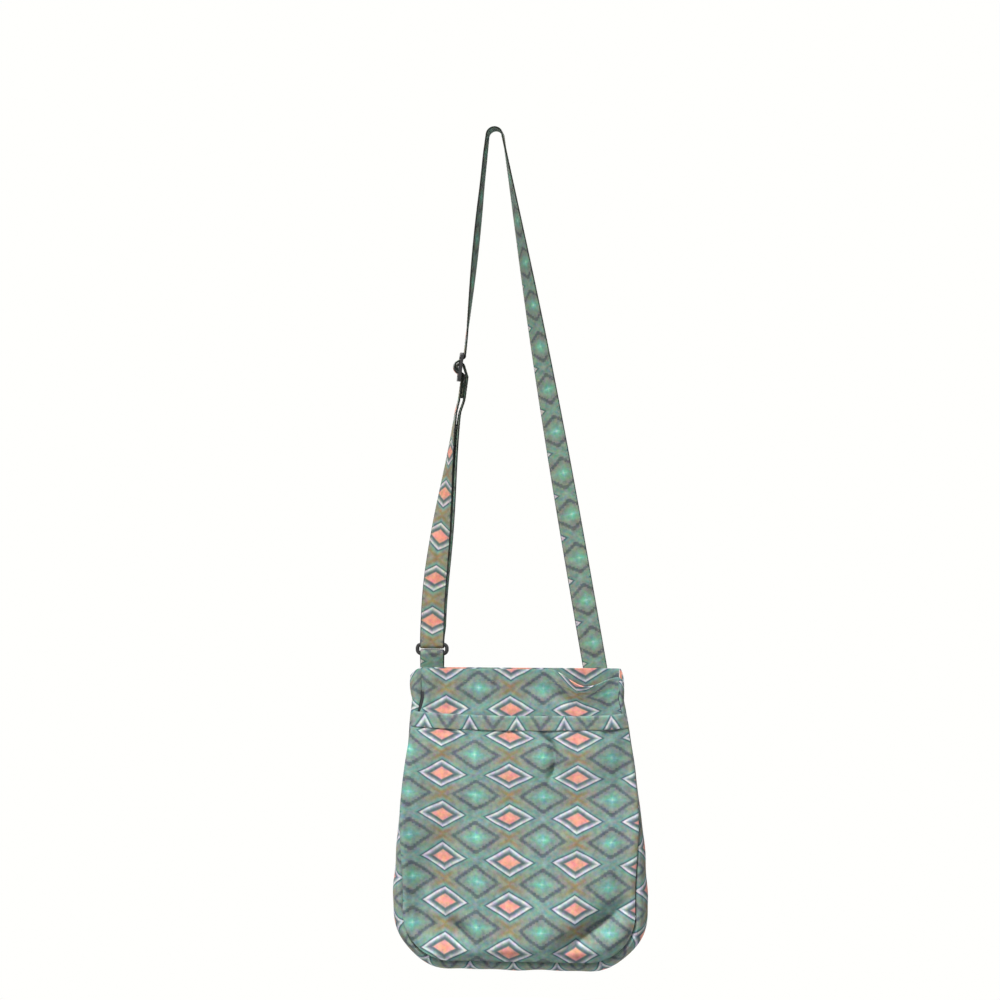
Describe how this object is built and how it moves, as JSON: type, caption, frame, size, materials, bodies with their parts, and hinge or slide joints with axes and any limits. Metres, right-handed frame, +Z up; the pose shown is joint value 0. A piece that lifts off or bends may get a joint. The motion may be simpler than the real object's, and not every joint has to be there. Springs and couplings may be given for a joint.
{
  "type": "crossbody bag",
  "caption": "Flat soft crossbody bag in diamond-lattice printed cloth, with a gusset, a front slip pocket, a zipped mouth and a long adjustable strap, hung by the strap.",
  "frame": {"origin": "underside of the strap at its highest point, where it lies over a shoulder or a hook", "axes": "+Z up along the hanging bag, front of the bag towards -Y, +X to the right in front view"},
  "size_m": [0.2648, 0.0598, 0.8745],
  "materials": {
    "print_fabric": "printed woven cotton, matt",
    "strap_fabric": "printed woven cotton, folded and topstitched",
    "lining_fabric": "plain dark lining",
    "zip_tape": "black woven tape",
    "zip_teeth": "black moulded teeth",
    "zip_metal": "dark metal",
    "black_plastic": "black moulded plastic, satin"
  },
  "bodies": {
    "bag": {"front_panel": "print_fabric", "back_panel": "print_fabric", "gusset": "print_fabric", "front_pocket": "print_fabric", "pocket_band": "print_fabric", "lining_front": "lining_fabric", "lining_back": "lining_fabric", "lining_gusset": "lining_fabric", "zip_tape_front": "zip_tape", "zip_tape_back": "zip_tape", "zip_chain_front": "zip_teeth", "zip_chain_back": "zip_teeth", "zip_end_stop": "zip_metal", "zip_top_stop_front": "zip_metal", "zip_top_stop_back": "zip_metal", "strap": "strap_fabric", "strap_tab": "strap_fabric"},
    "zip_slider": {"zip_slider": "zip_metal"},
    "zip_pull": {"zip_pull": "zip_metal"},
    "adjuster": {"adjuster": "black_plastic"},
    "ring": {"ring": "black_plastic"}
  },
  "joints": [
    {"name": "zip_slide", "type": "slide", "parent": "bag", "child": "zip_slider", "axis": [1, 0, 0], "range_m": [-0.099, 0.063], "deforming": ["zip_chain_front", "zip_chain_back", "zip_tape_front", "zip_tape_back"]},
    {"name": "zip_pull_swing", "type": "hinge", "parent": "zip_slider", "child": "zip_pull", "pos_m": [0.05, 0, -0.57405], "axis": [0, 1, 0], "range_deg": [0, 150]},
    {"name": "adjuster_slide", "type": "slide", "parent": "bag", "child": "adjuster", "axis": [0.1203, -0.0259, 0.9924], "range_m": [-0.14, 0.12], "deforming": ["strap"]},
    {"name": "ring_swing", "type": "hinge", "parent": "bag", "child": "ring", "pos_m": [-0.0675, 0.0128, -0.546], "axis": [1, 0, 0], "range_deg": [-60, 60], "deforming": ["strap"]}
  ]
}
